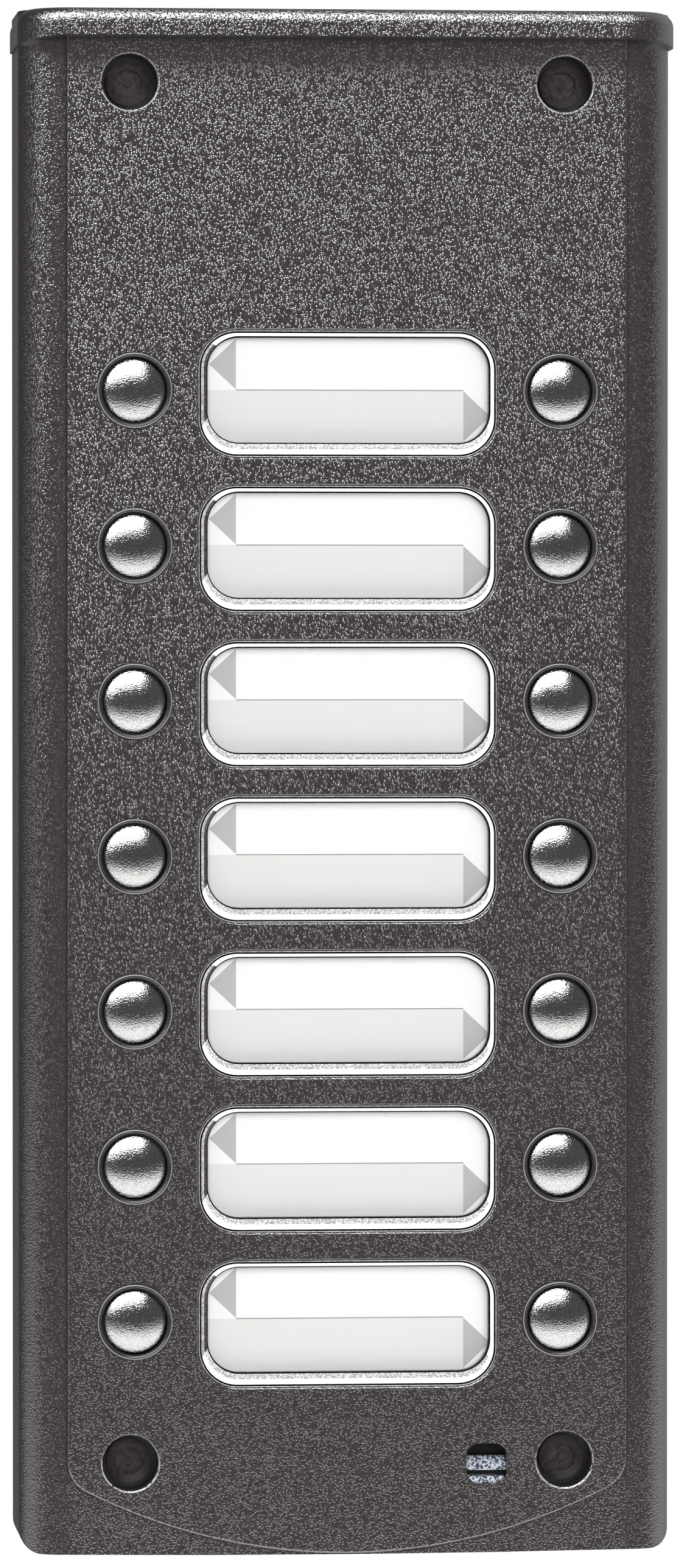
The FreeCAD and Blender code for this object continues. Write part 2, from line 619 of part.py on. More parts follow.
def return_spring(x, z):
    """A coil spring between the button's collar and the switch body, made of tilted half turns."""
    free = WIRE_RADIUS + SPRING_END_GAP
    start, end = COLLAR_REAR_Y + free, SWITCH_Y - free
    rise = (end - start) / (2 * SPRING_TURNS)
    turns = []
    for half in range(2 * SPRING_TURNS):
        side = 1 - 2 * (half % 2)
        along = start + half * rise
        wire = Part.makeCircle(WIRE_RADIUS, V(side * SPRING_RADIUS, along, 0), V(0, 0, 1))
        face = Part.Face(Part.Wire(wire))
        tilt = V(side * rise, 2 * SPRING_RADIUS, 0)
        turns.append(face.revolve(V(0, along + rise / 2, 0), tilt, 180))
    coil = turns[0].fuse(turns[1:])
    coil.translate(V(x, 0, z))
    return coil


def switch_housing(x, z):
    """A board-mounted push switch with its plunger."""
    body = block(SWITCH_SIZE, SWITCH_SIZE, SWITCH_Y, BOARD_Y, x, z)
    return body.fuse(round_bar(PLUNGER_RADIUS, PLUNGER_Y, SWITCH_Y + SINK, x, z)).removeSplitter()


# ---- name windows --------------------------------------------------------------------
def name_window(z):
    """A clear window: bevelled rim, sunk pane, rear flange and the pocket for its card."""
    width, height = WINDOW_WIDTH - 2 * WINDOW_FIT, WINDOW_HEIGHT - 2 * WINDOW_FIT
    rim_y = FIELD_Y + WINDOW_INSET
    plug = slab(rounded_rect(width, height, WINDOW_CORNER, rim_y, 0, z), INNER_Y)
    pane_z = z + PANE_RISE
    mouth_w, mouth_h = width - 2 * WINDOW_LAND, height - 2 * WINDOW_LAND
    mouth = rounded_rect(mouth_w, mouth_h, WINDOW_CORNER - WINDOW_LAND, rim_y, 0, z)
    floor = rounded_rect(PANE_WIDTH, PANE_HEIGHT, PANE_CORNER, PANE_Y, 0, pane_z)
    bevel = Part.makeLoft([mouth.OuterWire, floor.OuterWire], True, True)
    lip = 2 * WINDOW_FLANGE_LIP
    flange = rounded_rect(width + lip, height + lip, WINDOW_CORNER, INNER_Y, 0, z)
    body = plug.fuse(slab(flange, DIFFUSER_Y)).cut(bevel)
    pocket = card_outline(CARD_POCKET_GAP, CARD_Y, pane_z)
    return body.cut(slab(pocket, DIFFUSER_Y + PAST)).removeSplitter()


def card_outline(grow, y, z):
    """A name card seen from the front."""
    return rounded_rect(CARD_WIDTH + 2 * grow, CARD_HEIGHT + 2 * grow, CARD_CORNER, y, 0, z)


def light_diffuser():
    """One opal sheet with a raised pad that presses each card against its window."""
    top = WINDOW_Z[0] + WINDOW_HEIGHT / 2
    bottom = WINDOW_Z[-1] - WINDOW_HEIGHT / 2
    middle = (top + bottom) / 2
    sheet = rounded_rect(DIFFUSER_WIDTH, top - bottom, CARD_CORNER, DIFFUSER_Y, 0, middle)
    pads = [card_outline(-DIFFUSER_PAD_IN, PAD_Y, z + PANE_RISE) for z in WINDOW_Z]
    raised = [slab(pad, DIFFUSER_Y + SINK) for pad in pads]
    return slab(sheet, CARRIER_Y).fuse(raised).removeSplitter()


def label_carrier():
    """The frame behind the diffuser, with one light well for each window."""
    middle, tall = (CARRIER_TOP + CARRIER_BOTTOM) / 2, CARRIER_TOP - CARRIER_BOTTOM
    frame = rounded_rect(CARRIER_WIDTH, tall, CARRIER_CORNER, CARRIER_Y, 0, middle)
    frame = slab(frame, CARRIER_REAR_Y)
    cuts = []
    for z in WINDOW_Z:
        well = rounded_rect(WELL_WIDTH, WELL_HEIGHT, WELL_CORNER, CARRIER_Y - PAST, 0, z)
        cuts.append(slab(well, CARRIER_REAR_Y + PAST))
    for x, z in CARRIER_SCREWS:
        hole = SMALL_SCREW_RADIUS + SMALL_CLEARANCE
        cuts.append(round_bar(hole, CARRIER_Y - PAST, CARRIER_REAR_Y + PAST, x, z))
        head = SMALL_HEAD_RADIUS + SMALL_CLEARANCE
        cuts.append(round_bar(head, carrier_seat(), CARRIER_REAR_Y + PAST, x, z))
    return frame.cut(cuts)


def carrier_seat():
    """Where the carrier screws' heads rest, sunk so that they clear the board."""
    return CARRIER_REAR_Y - SMALL_HEAD - SMALL_HEAD_SUNK


# ---- electronics ---------------------------------------------------------------------
def circuit_board():
    """The board, with clearance holes for its screws."""
    middle, tall = (BOARD_TOP + BOARD_BOTTOM) / 2, BOARD_TOP - BOARD_BOTTOM
    board = rounded_rect(BOARD_WIDTH, tall, BOARD_CORNER, BOARD_Y, 0, middle)
    hole = SMALL_SCREW_RADIUS + SMALL_CLEARANCE
    near, far = BOARD_Y - PAST, BOARD_REAR_Y + PAST
    return slab(board, BOARD_REAR_Y).cut([round_bar(hole, near, far, x, z) for x, z in BOARD_POSTS])


def backlight_leds():
    """Two lamps behind each window."""
    wide, deep, tall = LED
    return group([
        block(wide, tall, BOARD_Y - deep, BOARD_Y, side * LED_SPACING / 2, z)
        for z in WINDOW_Z
        for side in (-1, 1)
    ])


def pole_places(x):
    """The middle of each pole of the terminal block at x."""
    z = BOARD_TOP - TERMINAL_BELOW_TOP
    first = x - POLE_PITCH * (POLES - 1) / 2
    return [(first + pole * POLE_PITCH, z) for pole in range(POLES)]


def terminal_block(x):
    """A screw terminal block on the rear of the board, its wire holes facing down."""
    z = BOARD_TOP - TERMINAL_BELOW_TOP
    rear = BOARD_REAR_Y + TERMINAL_DEPTH
    body = block(POLE_PITCH * POLES, TERMINAL_HEIGHT, BOARD_REAR_Y, rear, x, z)
    wide, deep, tall = WIRE_HOLE
    low = z - TERMINAL_HEIGHT / 2
    cuts = []
    for pole_x, pole_z in pole_places(x):
        cuts.append(round_bar(TERMINAL_WELL_RADIUS, rear - TERMINAL_WELL, rear + PAST, pole_x, pole_z))
        mouth = Part.makeBox(wide, tall, deep, V(pole_x - wide / 2, WIRE_HOLE_Y, low - PAST))
        cuts.append(mouth)
    return body.cut(cuts)


def terminal_screws():
    """The slotted clamping screws of both terminal blocks."""
    seat = BOARD_REAR_Y + TERMINAL_DEPTH - TERMINAL_WELL
    screws = []
    for side in (-1, 1):
        for x, z in pole_places(side * TERMINAL_SPACING / 2):
            screw = round_bar(TERMINAL_SCREW_RADIUS, seat, seat + TERMINAL_SCREW, x, z)
            bottom = seat + TERMINAL_SCREW - TERMINAL_SLOT_DEPTH
            slot = block(2 * TERMINAL_SCREW_RADIUS, SLOT_WIDTH, bottom, seat + TERMINAL_SCREW + PAST, x, z)
            screws.append(screw.cut(slot))
    return group(screws)


# ---- microphone port -----------------------------------------------------------------
def port_insert():
    """The stepped insert that blanks the microphone port."""
    plug = slab(port_outline(-PORT_FIT, FIELD_Y + PORT_INSET), INNER_Y)
    low, high = PORT_Z - PORT_HEIGHT / 2 - PAST, PORT_Z + PORT_HEIGHT / 2 + PAST
    front = FIELD_Y - PAST
    face = [(INNER_Y - deep, PORT_Z + height) for deep, height in PORT_STEPS]
    face = [(face[0][0], high)] + face + [(INNER_Y - PORT_FOOT, low), (front, low), (front, high)]
    away = outline((front, high), [(point,) for point in face], side_view(PORT_X - PORT_WIDTH))
    away = away.extrude(V(2 * PORT_WIDTH, 0, 0))
    wide, tall = PORT_WIDTH + 2 * PORT_FLANGE_LIP, PORT_HEIGHT + 2 * PORT_FLANGE_LIP
    flange = block(wide, tall, INNER_Y, INNER_Y + PORT_FLANGE, PORT_X, PORT_Z)
    return plug.cut(away).fuse(flange).removeSplitter()


# ---- write every sub-part ------------------------------------------------------------
def main():
    os.makedirs("parts", exist_ok=True)
    save("front_cover", front_cover())
    save("back_box", back_box())
    save("cover_gasket", cover_gasket())
    save("cable_grommet", cable_grommet())
    save("cover_screws", group([cover_screw(x, z) for x, z in SCREW_PLACES]))
    save("button_bezels", group([button_bezel(x, z) for x, z in BUTTON_PLACES]))
    save("switch_housings", group([switch_housing(x, z) for x, z in BUTTON_PLACES]))
    save("light_diffuser", light_diffuser())
    save("label_carrier", label_carrier())
    length = carrier_seat() - INNER_Y
    screws = [small_screw(x, z, carrier_seat(), length) for x, z in CARRIER_SCREWS]
    save("carrier_screws", group(screws))
    save("circuit_board", circuit_board())
    screws = [small_screw(x, z, BOARD_REAR_Y, BOARD + SMALL_SHANK) for x, z in BOARD_POSTS]
    save("board_screws", group(screws))
    save("backlight_leds", backlight_leds())
    save("terminal_block_left", terminal_block(-TERMINAL_SPACING / 2))
    save("terminal_block_right", terminal_block(TERMINAL_SPACING / 2))
    save("terminal_screws", terminal_screws())
    save("port_insert", port_insert())
    for row, z in enumerate(WINDOW_Z, start=1):
        save("name_window_%d" % row, name_window(z))
        card = slab(card_outline(0, CARD_Y, z + PANE_RISE), PAD_Y)
        save("name_card_%d" % row, card)
    for row, z in enumerate(ROW_Z, start=1):
        for side, x in (("left", -BUTTON_SPACING / 2), ("right", BUTTON_SPACING / 2)):
            save("call_button_%s_%d" % (side, row), call_button(x, z))
            save("return_spring_%s_%d" % (side, row), return_spring(x, z))


main()
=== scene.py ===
import math

import bpy
from mathutils import Matrix, Vector


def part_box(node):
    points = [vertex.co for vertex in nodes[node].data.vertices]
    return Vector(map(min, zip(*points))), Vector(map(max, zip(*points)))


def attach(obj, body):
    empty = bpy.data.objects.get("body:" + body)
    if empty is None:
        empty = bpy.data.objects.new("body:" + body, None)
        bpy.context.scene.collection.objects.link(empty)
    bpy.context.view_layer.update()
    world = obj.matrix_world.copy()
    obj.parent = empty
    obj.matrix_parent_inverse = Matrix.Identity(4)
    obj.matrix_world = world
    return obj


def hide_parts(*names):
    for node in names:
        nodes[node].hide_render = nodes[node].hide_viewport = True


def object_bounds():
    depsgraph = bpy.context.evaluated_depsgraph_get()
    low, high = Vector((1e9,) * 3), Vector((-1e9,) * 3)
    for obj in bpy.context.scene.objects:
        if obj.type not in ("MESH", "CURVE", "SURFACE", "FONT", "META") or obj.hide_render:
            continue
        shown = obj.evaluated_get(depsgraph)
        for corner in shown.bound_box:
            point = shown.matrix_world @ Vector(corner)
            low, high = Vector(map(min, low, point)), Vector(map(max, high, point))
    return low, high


# Looks of the door intercom panel. Metres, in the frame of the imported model:
# X across, the face looks along -Y, Z up, the wall face at Y = 0.
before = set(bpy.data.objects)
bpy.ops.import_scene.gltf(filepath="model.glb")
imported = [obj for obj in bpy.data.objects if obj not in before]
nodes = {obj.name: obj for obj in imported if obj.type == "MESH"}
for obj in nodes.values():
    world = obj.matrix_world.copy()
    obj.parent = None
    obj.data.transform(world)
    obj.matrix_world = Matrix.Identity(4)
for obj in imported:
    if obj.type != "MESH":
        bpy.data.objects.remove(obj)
cad_box = [list(corner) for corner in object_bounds()]

MM = 0.001
ROWS = 7
ROOT = "panel"


# ---- places read from the model --------------------------------------------------------
def middle(node):
    """The middle of a node's box."""
    low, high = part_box(node)
    return (low + high) / 2


ROW_TOP = middle("call_button_left_1").z
ROW_PITCH = (ROW_TOP - middle("call_button_left_%d" % ROWS).z) / (ROWS - 1)
CARD_MIDDLE_Z = middle("name_card_1").z
BUTTON_X = middle("call_button_right_1").x
RING_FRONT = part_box("button_bezels")[0].y
BEHIND_FIELD_Y = RING_FRONT + 1.0 * MM  # behind the face of the field, in front of the bands

# ---- camera ----------------------------------------------------------------------------
VIEW_AZIMUTH = -5.3  # degrees, to the viewer's left
VIEW_ELEVATION = 1.0
VIEW_DISTANCE = 1.25
FRAMED_HEIGHT = 0.2393  # height of the picture at the panel's face
AIM = Vector((-0.001, -0.028, 0.0))
SENSOR = 36.0


def camera():
    """A long lens a little to the left of the panel and level with its middle."""
    azimuth, elevation = math.radians(VIEW_AZIMUTH), math.radians(VIEW_ELEVATION)
    back = Vector((
        math.sin(azimuth) * math.cos(elevation),
        -math.cos(azimuth) * math.cos(elevation),
        math.sin(elevation),
    ))
    data = bpy.data.cameras.new("camera")
    data.sensor_width = SENSOR
    data.lens = SENSOR * VIEW_DISTANCE / FRAMED_HEIGHT
    data.clip_start = 0.01
    data.clip_end = 100
    cam = bpy.data.objects.new("camera", data)
    cam.location = AIM + back * VIEW_DISTANCE
    cam.rotation_euler = (-back).to_track_quat("-Z", "Y").to_euler()
    bpy.context.scene.collection.objects.link(cam)
    bpy.context.scene.camera = cam


# ---- lights, floor and surroundings ----------------------------------------------------
def soft_light(name, corner, along, up, radiance, tint=(1, 1, 1), diffuse=True, glossy=True):
    """A rectangular light. Along and up are its two sides, from one corner."""
    corner, along, up = Vector(corner), Vector(along), Vector(up)
    centre = corner + (along + up) / 2
    data = bpy.data.lights.new(name, "AREA")
    data.shape = "RECTANGLE"
    data.size, data.size_y = along.length, up.length
    data.energy = radiance * math.pi * along.length * up.length
    data.color = tint
    x, y = along.normalized(), up.normalized()
    if x.cross(y).dot(centre) < 0:
        x = -x
    turn = Matrix((x, y, x.cross(y))).transposed().to_4x4()
    light = bpy.data.objects.new(name, data)
    light.matrix_world = Matrix.Translation(centre) @ turn
    light.visible_camera = False
    light.visible_diffuse = diffuse
    light.visible_glossy = glossy
    bpy.context.scene.collection.objects.link(light)


BACKLIGHT = (1.0, 1.0, 0.5)  # where the light behind the panel is strongest: right and up
BACKLIGHT_FROM, BACKLIGHT_TO = 0.7, 1.5  # how far that way a direction has to point
WORLD_DIM, WORLD_BRIGHT = 0.09, 0.62


def surroundings():
    """Light behind the panel, dim elsewhere; the camera sees white."""
    world = bpy.data.worlds.new("studio")
    bpy.context.scene.world = world
    world.use_nodes = True
    tree = world.node_tree
    tree.nodes.clear()
    place = tree.nodes.new("ShaderNodeTexCoord")
    ramp = tree.nodes.new("ShaderNodeMapRange")
    path = tree.nodes.new("ShaderNodeLightPath")
    lit = tree.nodes.new("ShaderNodeBackground")
    seen = tree.nodes.new("ShaderNodeBackground")
    mix = tree.nodes.new("ShaderNodeMixShader")
    out = tree.nodes.new("ShaderNodeOutputWorld")
    ramp.inputs["From Min"].default_value = BACKLIGHT_FROM
    ramp.inputs["From Max"].default_value = BACKLIGHT_TO
    ramp.inputs["To Min"].default_value = WORLD_DIM
    ramp.inputs["To Max"].default_value = WORLD_BRIGHT
    toward = tree.nodes.new("ShaderNodeVectorMath")
    toward.operation = "DOT_PRODUCT"
    toward.inputs[1].default_value = BACKLIGHT
    seen.inputs["Color"].default_value = (1, 1, 1, 1)
    seen.inputs["Strength"].default_value = 1.0
    tree.links.new(place.outputs["Generated"], toward.inputs[0])
    tree.links.new(toward.outputs["Value"], ramp.inputs["Value"])
    tree.links.new(ramp.outputs["Result"], lit.inputs["Strength"])
    tree.links.new(path.outputs["Is Camera Ray"], mix.inputs["Fac"])
    tree.links.new(lit.outputs[0], mix.inputs[1])
    tree.links.new(seen.outputs[0], mix.inputs[2])
    tree.links.new(mix.outputs[0], out.inputs["Surface"])


FLOOR_Z = -0.35
FLOOR_FRONT = 0.6
FLOOR_REAR = 0.8
FLOOR_GLOW = 0.6


def floor():
    """A pale table top that ends in front of the panel."""
    mesh = bpy.data.meshes.new("floor")
    corners = [(-2.5, -FLOOR_FRONT), (2.5, -FLOOR_FRONT), (2.5, FLOOR_REAR), (-2.5, FLOOR_REAR)]
    mesh.from_pydata([(x, y, FLOOR_Z) for x, y in corners], [], [(0, 1, 2, 3)])
    top = bpy.data.objects.new("floor", mesh)
    bpy.context.scene.collection.objects.link(top)
    paint = Look("studio_floor", (0.85, 0.85, 0.85), 0.8)
    paint.speckle((0.83, 0.83, 0.83), (0.87, 0.87, 0.87), 40)
    paint.put("Emission Color", (1, 1, 1, 1))
    paint.put("Emission Strength", FLOOR_GLOW)
    mesh.materials.append(paint.material)


# ---- materials -------------------------------------------------------------------------
class Look:
    """A material with one main shader and the node chains that feed it."""

    def __init__(self, name, colour, roughness, metallic=0.0, specular=0.5):
        self.material = bpy.data.materials.new(name)
        self.material.use_nodes = True
        self.tree = self.material.node_tree
        self.shader = self.tree.nodes["Principled BSDF"]
        self.place = self.tree.nodes.new("ShaderNodeTexCoord")
        self.put("Base Color", (*colour, 1))
        self.put("Roughness", roughness)
        self.put("Metallic", metallic)
        self.put("Specular IOR Level", specular)

    def put(self, socket, value):
        self.shader.inputs[socket].default_value = value

    def node(self, kind, **inputs):
        """A node with some of its sockets set, by name."""
        made = self.tree.nodes.new("ShaderNode" + kind)
        for socket, value in inputs.items():
            target = made.inputs[socket.replace("_", " ")]
            if isinstance(value, bpy.types.NodeSocket):
                self.tree.links.new(value, target)
            else:
                target.default_value = value
        return made

    def where(self, stretch=(1, 1, 1)):
        """The place in the object, stretched along each axis."""
        scaled = self.node("VectorMath", Vector=self.place.outputs["Object"])
        scaled.operation = "MULTIPLY"
        scaled.inputs[1].default_value = stretch
        return scaled.outputs[0]

    def noise(self, scale, detail=2.0, stretch=(1, 1, 1)):
        made = self.node("TexNoise", Vector=self.where(stretch), Scale=scale, Detail=detail)
        return made.outputs["Fac"]

    def spread(self, value, low, high, to_low=0.0, to_high=1.0):
        """Maps a range of a value to another, with smooth ends."""
        made = self.node(
            "MapRange", Value=value, From_Min=low, From_Max=high, To_Min=to_low, To_Max=to_high
        )
        made.interpolation_type = "SMOOTHSTEP"
        return made.outputs["Result"]

    def sums(self, operation, first, second=0.0):
        """The result of one sum of two values, each a number or a socket."""
        made = self.node("Math")
        made.operation = operation
        for socket, value in zip(made.inputs, (first, second)):
            if isinstance(value, bpy.types.NodeSocket):
                self.tree.links.new(value, socket)
            else:
                socket.default_value = value
        return made.outputs[0]

    def axes(self):
        """The X, Y and Z of the place in the object."""
        split = self.node("SeparateXYZ", Vector=self.place.outputs["Object"])
        return split.outputs[0], split.outputs[1], split.outputs[2]

    def band(self, value, low, high, soft):
        """One inside a range of a value and zero outside it, with soft ends."""
        rise = self.spread(value, low - soft, low)
        fall = self.spread(value, high, high + soft, 1.0, 0.0)
        return self.sums("MULTIPLY", rise, fall)

    def radius(self, first, second):
        squares = (self.sums("MULTIPLY", value, value) for value in (first, second))
        return self.sums("SQRT", self.sums("ADD", *squares))

    def over(self, colour, factor):
        """Lays another base colour over the present one."""
        present = self.shader.inputs["Base Color"].links[0].from_socket
        self.join(self.blend(factor, present, colour), "Base Color")

    def blend(self, factor, first, second):
        """A colour between two, each a colour or a socket."""
        made = self.node("MixRGB", Fac=factor)
        for socket, colour in ((made.inputs[1], first), (made.inputs[2], second)):
            if isinstance(colour, bpy.types.NodeSocket):
                self.tree.links.new(colour, socket)
            else:
                socket.default_value = (*colour, 1)
        return made.outputs[0]

    def join(self, value, socket):
        self.tree.links.new(value, self.shader.inputs[socket])

    def speckle(self, first, second, scale, low=0.35, high=0.65):
        """A base colour that wanders between two colours."""
        factor = self.spread(self.noise(scale), low, high)
        self.join(self.blend(factor, first, second), "Base Color")

    def shade_in_depth(self, colour, front, rear):
        """Blends the base colour to another one between two depths: painted shade for what sits deep in
        a hole.
        """
        self.over(colour, self.spread(self.axes()[1], front, rear))

    def rough(self, scale, low, high, stretch=(1, 1, 1)):
        self.join(self.spread(self.noise(scale, 3, stretch), 0.3, 0.7, low, high), "Roughness")

    def relief(self, height, depth, over=None, strength=1.0):
        """A bump of that depth in metres; over is a coarser bump under it."""
        made = self.node("Bump", Height=height, Distance=depth, Strength=strength)
        if over is not None:
            self.tree.links.new(over, made.inputs["Normal"])
        self.join(made.outputs[0], "Normal")
        return made.outputs[0]


GRAIN_SPACING = 0.33 * MM  # between the crests of the paint
GRAIN_RISE = 0.072 * MM
BAND_EDGE = 41.5 * MM  # the bands beside the field start about here, out from the middle
BAND_CALM = 0.6  # the bands' share of the field's relief
FOOT_CALM = 0.66  # the relief at the bottom, as a share of that at the top
CREASE = 1.3 * MM  # how far the painted shade reaches out of a crease
HEAD_RADIUS = 3.4 * MM
HIGHLIGHT_RADII = (4.2 * MM, 4.52 * MM)  # radii of the painted highlight round each cover screw's hole
HIGHLIGHT_UPPER = 0.12  # how much of the painted highlight is left at the top of the hole
# colour of the painted highlight on the screw holes' lower rims
RIM_HIGHLIGHT_COLOUR = (0.64, 0.63, 0.62)
# colour of the painted shade in creases
CREASE_SHADE = (0.008, 0.006, 0.006)
# colour of the painted shade in the hollows between the paint's crests
SHADE_BETWEEN_CRESTS = (0.028, 0.0205, 0.021)


def hammered_paint():
    """Dark warm grey powder coat with small glossy crests, calmer at the bottom and on the bands, with
    painted shade between the crests and in creases.
    """
    look = Look("hammered_paint", (0.035, 0.029, 0.028), 0.22, specular=1.0)
    look.put("IOR", 2.1)
    look.speckle((0.036, 0.026, 0.027), (0.06, 0.045, 0.047), 2200)
    look.rough(1400, 0.16, 0.27)
    x, _, z = look.axes()
    lift = look.spread(z, cad_box[0][2], cad_box[1][2], FOOT_CALM, 1.0)
    out = look.sums("ABSOLUTE", x)
    calm = look.spread(out, BAND_EDGE, BAND_EDGE + 2 * MM, 1.0, BAND_CALM)
    crease = look.node("AmbientOcclusion", Distance=CREASE)
    crease.samples = 6
    clear = look.spread(crease.outputs["AO"], 0.35, 0.9)
    strength = look.sums("MULTIPLY", look.sums("MULTIPLY", lift, calm), clear)
    cells = look.node("TexVoronoi", Vector=look.where(), Scale=1 / GRAIN_SPACING)
    crests = look.spread(cells.outputs["Distance"], 0.0, 0.6, 1.0, 0.0)
    # painted shade: the base turns darker in the hollows between the crests
    look.over(SHADE_BETWEEN_CRESTS, look.spread(crests, 0.05, 0.45, 0.8, 0.0))
    domes = look.relief(crests, GRAIN_RISE, strength=strength)
    uneven = look.relief(look.noise(2600, 1.0), 0.00008, domes, strength=strength)
    look.relief(look.noise(9000, 1.0), 0.00001, uneven)
    # painted shade: darker where ambient occlusion finds a crease
    look.over(CREASE_SHADE, look.sums("SUBTRACT", 1.0, clear))

    rim_highlights(look)
    return look.material


def rim_highlights(look):
    """Paints a broken highlight on the lower edge of each cover screw's hole, where the edge faces the
    light above.
    """
    x, y, z = look.axes()
    low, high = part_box("cover_screws")
    from_side = look.sums("SUBTRACT", look.sums("ABSOLUTE", x), high.x - HEAD_RADIUS)
    upper = look.sums("GREATER_THAN", z, 0.0)
    height = look.spread(upper, 0.0, 1.0, low.z + HEAD_RADIUS, high.z - HEAD_RADIUS)
    above = look.sums("SUBTRACT", z, height)
    ring = look.band(look.radius(from_side, above), *HIGHLIGHT_RADII, 0.05 * MM)
    under = look.spread(above, -2.5 * MM, 3 * MM, 1.0, HIGHLIGHT_UPPER)
    front = look.sums("LESS_THAN", y, BEHIND_FIELD_Y)
    breaks = look.spread(look.noise(1500, 2), 0.34, 0.48)
    highlit = look.sums("MULTIPLY", look.sums("MULTIPLY", ring, under), front)
    # painted highlight on the lower rims, broken up by noise
    look.over(RIM_HIGHLIGHT_COLOUR, look.sums("MULTIPLY", highlit, breaks))


def satin_nickel():
    look = Look("satin_nickel", (0.78, 0.775, 0.765), 0.12, metallic=1.0)
    look.speckle((0.66, 0.655, 0.645), (0.86, 0.855, 0.845), 4200)
    look.rough(3600, 0.08, 0.18, (0.6, 1, 1.3))
    look.relief(look.noise(4600, 2.0, (0.7, 1, 1.2)), 0.00005)
    return look.material


def moulded(name, colour, roughness, grain=4000, depth=0.00001, specular=0.45):
    """Moulded plastic with a fine spark-eroded grain."""
    look = Look(name, colour, roughness, specular=specular)
    dark = tuple(c * 0.85 for c in colour)
    light = tuple(min(1, c * 1.15) for c in colour)
    look.speckle(dark, light, 90)
    look.rough(800, roughness - 0.06, roughness + 0.08)
    look.relief(look.noise(grain), depth)
    return look.material


def metal(name, colour, low, high):
    """A metal finish whose gloss wanders between two roughness values."""
    look = Look(name, colour, low, metallic=1.0)
    look.speckle(tuple(c * 0.85 for c in colour), colour, 600)
    look.rough(1500, low, high)
    look.relief(look.noise(3000, 2), 0.000006)
    return look.material


RING_HIGHLIGHT_RADII = (5.58 * MM, 5.8 * MM)  # radii of the painted highlight on the outer edge of each button ring
RING_SHADE_DEPTHS = (0.16 * MM, 0.28 * MM)  # depths between which a ring turns from lacquer to black painted shade


def bezel_lacquer():
    """Smooth satin dark grey lacquer on the button rings, with a painted highlight on their outer edge
    and black painted shade in the gap round the cap.
    """
    look = Look("bezel_lacquer", (0.05, 0.045, 0.046), 0.24, specular=0.6)
    look.put("IOR", 1.6)
    look.speckle((0.04, 0.036, 0.037), (0.065, 0.059, 0.061), 2600)
    x, y, z = look.axes()
    across = look.sums("SUBTRACT", look.sums("ABSOLUTE", x), BUTTON_X)
    rows = look.sums("MODULO", look.sums("ADD", z, ROW_PITCH * (ROWS + 0.5) - ROW_TOP), ROW_PITCH)
    out = look.radius(across, look.sums("SUBTRACT", rows, ROW_PITCH / 2))
    # painted highlight on the outer edge of each ring
    look.over((0.3, 0.29, 0.305), look.band(out, *RING_HIGHLIGHT_RADII, 0.06 * MM))
    # painted shade: black down the gap between ring and cap
    gap = look.spread(y, *(RING_FRONT + depth for depth in RING_SHADE_DEPTHS))
    look.over((0.002, 0.002, 0.002), gap)
    gloss = look.spread(look.noise(1200, 3), 0.3, 0.7, 0.17, 0.28)
    look.join(look.sums("MAXIMUM", gloss, gap), "Roughness")
    look.relief(look.noise(2600), 0.000008)
    return look.material


def lit_bevel(name, dark, light, glow):
    """The polished slope of a window, painted light where it carries the light of the card behind it,
    with a painted glow.
    """
    look = Look(name, light, 0.12)
    look.speckle(dark, light, 3800)
    look.rough(2500, 0.08, 0.2)
    look.relief(look.noise(2600), 0.00002)
    # painted glow: the slope emits light though it is no lamp
    look.put("Emission Color", (1, 1, 1, 1))
    look.put("Emission Strength", glow)
    return look.material


PORT_SHADE_DEPTHS = (0.85 * MM, 1.2 * MM)  # behind the insert's foot, between which its ledges turn to painted shade


def cast_insert():
    """Bead-blasted casting, bright on its ledges, with painted shade in the depth of the port."""
    look = Look("cast_insert", (0.36, 0.39, 0.44), 0.35, metallic=0.35)
    look.speckle((0.05, 0.055, 0.075), (0.52, 0.56, 0.64), 2600, 0.42, 0.56)
    low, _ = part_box("port_insert")
    # painted shade: near black deep in the port
    look.shade_in_depth((0.012, 0.012, 0.013), *(low.y + depth for depth in PORT_SHADE_DEPTHS))
    look.rough(2000, 0.25, 0.45)
    look.relief(look.noise(2600, 2), 0.0001)
    return look.material


def black_screw():
    """Blackened steel under a thin brown lacquer."""
    look = Look("black_screw", (0.034, 0.028, 0.026), 0.35, specular=0.6)
    look.speckle((0.026, 0.021, 0.02), (0.042, 0.035, 0.033), 1500)
    look.rough(1500, 0.28, 0.45)
    look.relief(look.noise(3000), 0.000012)
    return look.material


def shaded_bevel(name, colour):
    """The window's lip and slopes in one flat colour: painted shade where a slope only shows the dark
    wall of the opening behind it, and the lip's painted highlight.
    """
    look = Look(name, colour, 0.2, specular=0.6)
    look.speckle(tuple(c * 0.7 for c in colour), tuple(c * 1.3 for c in colour), 2400)
    look.rough(2500, 0.14, 0.3)
    look.relief(look.noise(2600), 0.00001)
    return look.material


def clear_pane():
    look = Look("clear_pane", (0.95, 0.96, 0.97), 0.05)
    look.speckle((0.94, 0.95, 0.96), (0.97, 0.97, 0.98), 60)
    look.rough(300, 0.03, 0.08)
    look.put("Alpha", 0.07)
    return look.material


# ---- name cards ------------------------------------------------------------------------
CARD_WHITE = (0.935, 0.935, 0.935)
CARD_GREY = (0.78, 0.77, 0.755)
ARROW_GREY = (0.455, 0.445, 0.46)
RULE_GREY = (0.3, 0.295, 0.305)
ARROW_BASE = 17.47 * MM
ARROW_TIP = 21.6 * MM
CARD_SHIFT = 0.55 * MM  # the print sits a little to the right on its card
CARD_LIFT = 0.34 * MM
ARROW_HALF = 3.85 * MM
ARROW_MIDDLE = 3.95 * MM
RULE = 0.09 * MM  # half its width


